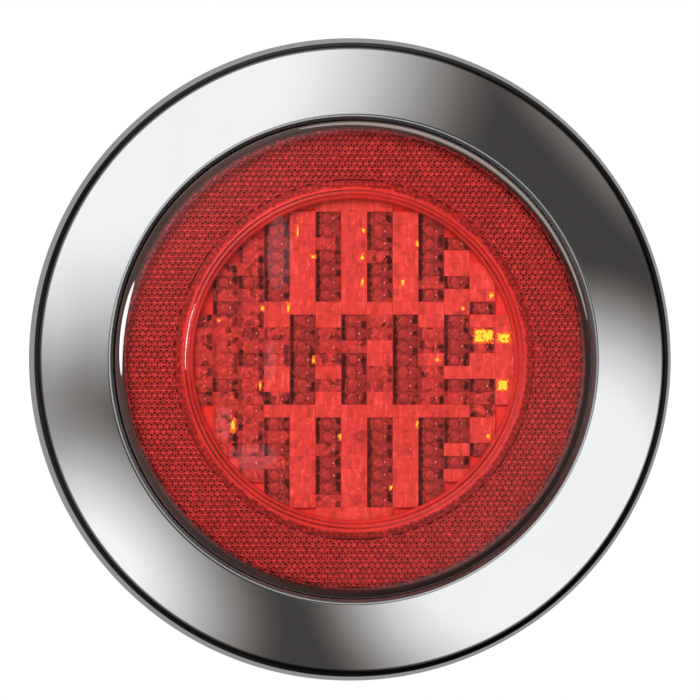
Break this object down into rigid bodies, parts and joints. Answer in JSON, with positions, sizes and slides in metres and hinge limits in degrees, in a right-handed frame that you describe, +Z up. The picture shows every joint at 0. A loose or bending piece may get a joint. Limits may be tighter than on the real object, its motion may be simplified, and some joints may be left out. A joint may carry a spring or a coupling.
{
  "type": "trailer tail light",
  "caption": "Round surface-mounted tail and stop lamp with a red domed lens, a reflex annulus, an LED board and a chromed push-on trim ring.",
  "frame": {"origin": "centre of the mounting gasket's rear face, on the vehicle's panel", "axes": "lens faces -Y, +Y into the vehicle along the lamp's axis, +Z up as mounted"},
  "size_m": [0.155, 0.0552, 0.155],
  "materials": {
    "chrome_plated_plastic": "bright chrome plating on moulded ABS, mirror smooth",
    "red_lens": "transparent red acrylic, polished",
    "red_reflex": "red acrylic with moulded corner prisms",
    "black_plastic": "black ABS, fine grain",
    "red_optic": "transparent acrylic with pillow cells",
    "metallised_plastic": "vacuum-metallised ABS",
    "rubber": "black EPDM",
    "board_laminate": "glass-fibre laminate, green solder mask",
    "zinc_steel": "bright zinc plate",
    "stainless_steel": "stainless steel",
    "led_package": "white package",
    "led_dome": "clear silicone dome",
    "black_epoxy": "moulded epoxy",
    "ceramic_chip": "coated ceramic chip",
    "capacitor_can": "aluminium can",
    "black_housing": "black ABS, fine spark-eroded grain",
    "connector_plastic": "glass-filled nylon",
    "tinned_brass": "tin-plated brass",
    "grey_plastic": "grey polypropylene",
    "membrane_fabric": "porous PTFE film"
  },
  "bodies": {
    "lamp": {"lens": "red_lens", "reflex_ring": "red_reflex", "reflex_back_plate": "black_plastic", "optic_plate": "red_optic", "reflector_tray": "metallised_plastic", "lens_seal": "rubber", "mounting_gasket": "rubber", "connector_seal": "rubber", "circuit_board": "board_laminate", "board_screws": "zinc_steel", "mounting_screws": "stainless_steel", "mounting_washers": "stainless_steel", "screw_sleeves": "zinc_steel", "tail_led_bodies": "led_package", "stop_led_bodies": "led_package", "tail_led_lenses": "led_dome", "stop_led_lenses": "led_dome", "voltage_regulators": "black_epoxy", "protection_diodes": "black_epoxy", "resistors": "ceramic_chip", "capacitors": "capacitor_can", "housing": "black_housing", "connector_shell": "connector_plastic", "connector_pins": "tinned_brass", "vent_plug": "grey_plastic", "vent_membrane": "membrane_fabric"},
    "trim": {"trim_ring": "chrome_plated_plastic"}
  },
  "joints": [
    {"name": "trim_ring_pull", "type": "slide", "parent": "lamp", "child": "trim", "axis": [0, -1, 0], "range_m": [0, 0.03]}
  ]
}
